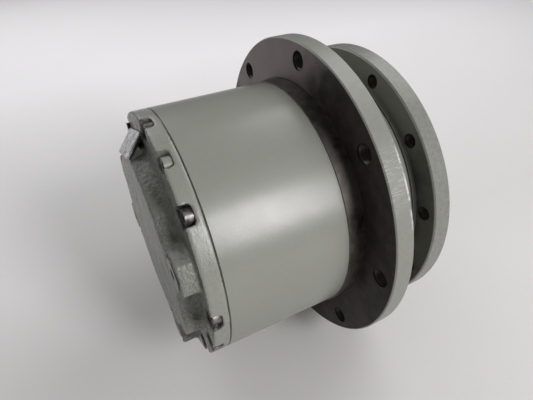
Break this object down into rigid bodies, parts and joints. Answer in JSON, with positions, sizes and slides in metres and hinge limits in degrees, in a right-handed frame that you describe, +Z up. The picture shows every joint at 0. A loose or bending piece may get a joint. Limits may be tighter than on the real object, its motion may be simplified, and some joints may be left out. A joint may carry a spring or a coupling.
{
  "type": "travel reduction gearbox",
  "caption": "Planetary travel gearbox with a fixed frame flange, a turning drum with a sprocket flange, and a bolted end cover.",
  "frame": {"origin": "on the drive's axis, at the centre of the frame flange's mounting face", "axes": "+Y along the axis out of the frame flange's mounting face, towards the track frame; the end cover points along -Y; +Z up"},
  "size_m": [0.28, 0.2111, 0.28],
  "materials": {
    "painted_casting": "satin grey-green paint, with bare machined flange faces",
    "painted_cover": "satin grey-green paint over cast iron",
    "bright_steel": "zinc plated",
    "dark_steel": "black oxide",
    "gear_steel": "ground",
    "bearing_steel": "polished",
    "bronze": "machined",
    "soft_metal": "flat",
    "bare_plate": "brushed, bare",
    "seal_rubber": "matt"
  },
  "bodies": {
    "spindle": {"spindle": "painted_casting", "rear_bearing_inner_race": "bearing_steel", "front_bearing_inner_race": "bearing_steel", "bearing_spacer": "gear_steel", "bearing_nut": "dark_steel", "fixed_seal_ring": "bearing_steel", "fixed_seal_rubber": "seal_rubber", "second_stage_carrier": "gear_steel", "carrier_circlip": "dark_steel", "second_planet_pins": "bearing_steel", "second_planet_washers": "bronze", "second_planet_circlips": "dark_steel"},
    "drum": {"drum_housing": "painted_casting", "end_cover": "painted_cover", "cover_bolts": "bright_steel", "oil_plugs": "painted_cover", "plug_washers": "soft_metal", "data_plate": "bare_plate", "plate_backing": "seal_rubber", "rim_screw": "dark_steel", "thrust_button": "bearing_steel", "ring_gear": "gear_steel", "rear_bearing_outer_race": "bearing_steel", "front_bearing_outer_race": "bearing_steel", "turning_seal_ring": "bearing_steel", "turning_seal_rubber": "seal_rubber"},
    "rear_cage": {"rear_bearing_cage": "bronze", "rear_bearing_rollers": "bearing_steel"},
    "front_cage": {"front_bearing_cage": "bronze", "front_bearing_rollers": "bearing_steel"},
    "first_carrier": {"first_stage_carrier": "gear_steel", "second_sun_gear": "gear_steel", "first_planet_pins": "bearing_steel", "first_planet_washers": "bronze", "first_planet_circlips": "dark_steel"},
    "input": {"input_shaft": "gear_steel", "coupling_sleeve": "gear_steel", "sleeve_circlip": "dark_steel"},
    "second_planet_a": {"second_planet_gear_a": "gear_steel", "second_planet_bush_a": "bronze"},
    "second_planet_b": {"second_planet_gear_b": "gear_steel", "second_planet_bush_b": "bronze"},
    "second_planet_c": {"second_planet_gear_c": "gear_steel", "second_planet_bush_c": "bronze"},
    "first_planet_a": {"first_planet_gear_a": "gear_steel", "first_planet_bush_a": "bronze"},
    "first_planet_b": {"first_planet_gear_b": "gear_steel", "first_planet_bush_b": "bronze"},
    "first_planet_c": {"first_planet_gear_c": "gear_steel", "first_planet_bush_c": "bronze"}
  },
  "joints": [
    {"name": "drum_spin", "type": "hinge", "parent": "spindle", "child": "drum", "pos_m": [0, 0, 0], "axis": [0, 1, 0], "continuous": true},
    {"name": "rear_cage_spin", "type": "hinge", "parent": "spindle", "child": "rear_cage", "pos_m": [0, 0, 0], "axis": [0, 1, 0], "continuous": true},
    {"name": "front_cage_spin", "type": "hinge", "parent": "spindle", "child": "front_cage", "pos_m": [0, 0, 0], "axis": [0, 1, 0], "continuous": true},
    {"name": "first_carrier_spin", "type": "hinge", "parent": "spindle", "child": "first_carrier", "pos_m": [0, 0, 0], "axis": [0, 1, 0], "continuous": true},
    {"name": "input_spin", "type": "hinge", "parent": "spindle", "child": "input", "pos_m": [0, 0, 0], "axis": [0, 1, 0], "continuous": true},
    {"name": "second_planet_a_spin", "type": "hinge", "parent": "spindle", "child": "second_planet_a", "pos_m": [0.05362, 0, 0], "axis": [0, 1, 0], "continuous": true},
    {"name": "second_planet_b_spin", "type": "hinge", "parent": "spindle", "child": "second_planet_b", "pos_m": [-0.02681, 0, 0.04644], "axis": [0, 1, 0], "continuous": true},
    {"name": "second_planet_c_spin", "type": "hinge", "parent": "spindle", "child": "second_planet_c", "pos_m": [-0.02681, 0, -0.04644], "axis": [0, 1, 0], "continuous": true},
    {"name": "first_planet_a_spin", "type": "hinge", "parent": "first_carrier", "child": "first_planet_a", "pos_m": [0.0495, 0, 0], "axis": [0, 1, 0], "continuous": true},
    {"name": "first_planet_b_spin", "type": "hinge", "parent": "first_carrier", "child": "first_planet_b", "pos_m": [-0.02475, 0, 0.04287], "axis": [0, 1, 0], "continuous": true},
    {"name": "first_planet_c_spin", "type": "hinge", "parent": "first_carrier", "child": "first_planet_c", "pos_m": [-0.02475, 0, -0.04287], "axis": [0, 1, 0], "continuous": true}
  ],
  "couplings": [
    {"joint": "rear_cage_spin", "follows": "drum_spin", "ratio": 0.52375},
    {"joint": "front_cage_spin", "follows": "drum_spin", "ratio": 0.52375},
    {"joint": "first_carrier_spin", "follows": "drum_spin", "ratio": -2.7143},
    {"joint": "input_spin", "follows": "drum_spin", "ratio": -16.829},
    {"joint": "second_planet_a_spin", "follows": "drum_spin", "ratio": 3.1667},
    {"joint": "second_planet_b_spin", "follows": "drum_spin", "ratio": 3.1667},
    {"joint": "second_planet_c_spin", "follows": "drum_spin", "ratio": 3.1667},
    {"joint": "first_planet_a_spin", "follows": "drum_spin", "ratio": 10.082},
    {"joint": "first_planet_b_spin", "follows": "drum_spin", "ratio": 10.082},
    {"joint": "first_planet_c_spin", "follows": "drum_spin", "ratio": 10.082}
  ]
}
